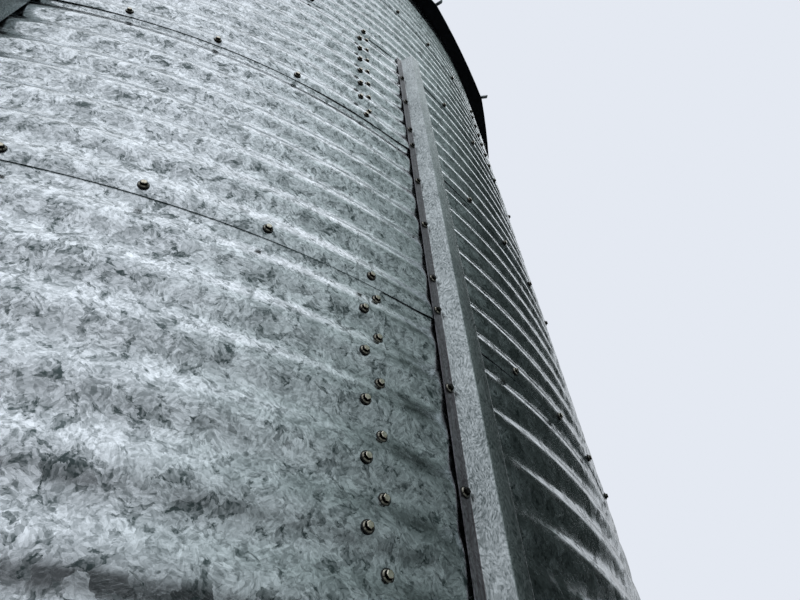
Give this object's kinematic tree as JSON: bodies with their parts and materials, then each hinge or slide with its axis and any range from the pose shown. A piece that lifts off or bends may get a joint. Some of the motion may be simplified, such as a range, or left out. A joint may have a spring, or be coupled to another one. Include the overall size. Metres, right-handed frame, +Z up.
{
  "type": "grain silo",
  "caption": "Round free-standing grain silo: corrugated bolted wall sheets in stacked rings, vertical folded stiffeners outside, a cone roof of ribbed panels and a peak cap.",
  "frame": {"origin": "centre of the wall at ground level", "axes": "+Z up along the silo's axis, -Y towards the picture's viewpoint"},
  "size_m": [4.5734, 4.5792, 7.1062],
  "materials": {
    "wall_zinc": "hot-dip galvanised corrugated sheet with a large leafy spangle",
    "stiffener_zinc": "galvanised folded steel with a fine mottled spangle",
    "roof_zinc": "galvanised flat sheet, dull",
    "base_zinc": "galvanised rolled angle, dull"
  },
  "bodies": {
    "root": {"wall_ring_1_sheet_1": "wall_zinc", "wall_ring_1_sheet_2": "wall_zinc", "wall_ring_1_sheet_3": "wall_zinc", "wall_ring_1_sheet_4": "wall_zinc", "wall_ring_1_sheet_5": "wall_zinc", "wall_ring_2_sheet_1": "wall_zinc", "wall_ring_2_sheet_2": "wall_zinc", "wall_ring_2_sheet_3": "wall_zinc", "wall_ring_2_sheet_4": "wall_zinc", "wall_ring_2_sheet_5": "wall_zinc", "wall_ring_3_sheet_1": "wall_zinc", "wall_ring_3_sheet_2": "wall_zinc", "wall_ring_3_sheet_3": "wall_zinc", "wall_ring_3_sheet_4": "wall_zinc", "wall_ring_3_sheet_5": "wall_zinc", "wall_ring_4_sheet_1": "wall_zinc", "wall_ring_4_sheet_2": "wall_zinc", "wall_ring_4_sheet_3": "wall_zinc", "wall_ring_4_sheet_4": "wall_zinc", "wall_ring_4_sheet_5": "wall_zinc", "wall_ring_5_sheet_1": "wall_zinc", "wall_ring_5_sheet_2": "wall_zinc", "wall_ring_5_sheet_3": "wall_zinc", "wall_ring_5_sheet_4": "wall_zinc", "wall_ring_5_sheet_5": "wall_zinc", "wall_ring_6_sheet_1": "wall_zinc", "wall_ring_6_sheet_2": "wall_zinc", "wall_ring_6_sheet_3": "wall_zinc", "wall_ring_6_sheet_4": "wall_zinc", "wall_ring_6_sheet_5": "wall_zinc", "wall_ring_7_sheet_1": "wall_zinc", "wall_ring_7_sheet_2": "wall_zinc", "wall_ring_7_sheet_3": "wall_zinc", "wall_ring_7_sheet_4": "wall_zinc", "wall_ring_7_sheet_5": "wall_zinc", "stiffener_1": "stiffener_zinc", "stiffener_2": "stiffener_zinc", "stiffener_3": "stiffener_zinc", "stiffener_4": "stiffener_zinc", "stiffener_5": "stiffener_zinc", "stiffener_6": "stiffener_zinc", "stiffener_7": "stiffener_zinc", "stiffener_8": "stiffener_zinc", "stiffener_9": "stiffener_zinc", "stiffener_10": "stiffener_zinc", "roof_section_1": "roof_zinc", "roof_section_2": "roof_zinc", "roof_section_3": "roof_zinc", "roof_section_4": "roof_zinc", "roof_section_5": "roof_zinc", "peak_collar": "roof_zinc", "peak_cap": "roof_zinc", "base_angle": "base_zinc"}
  },
  "joints": []
}
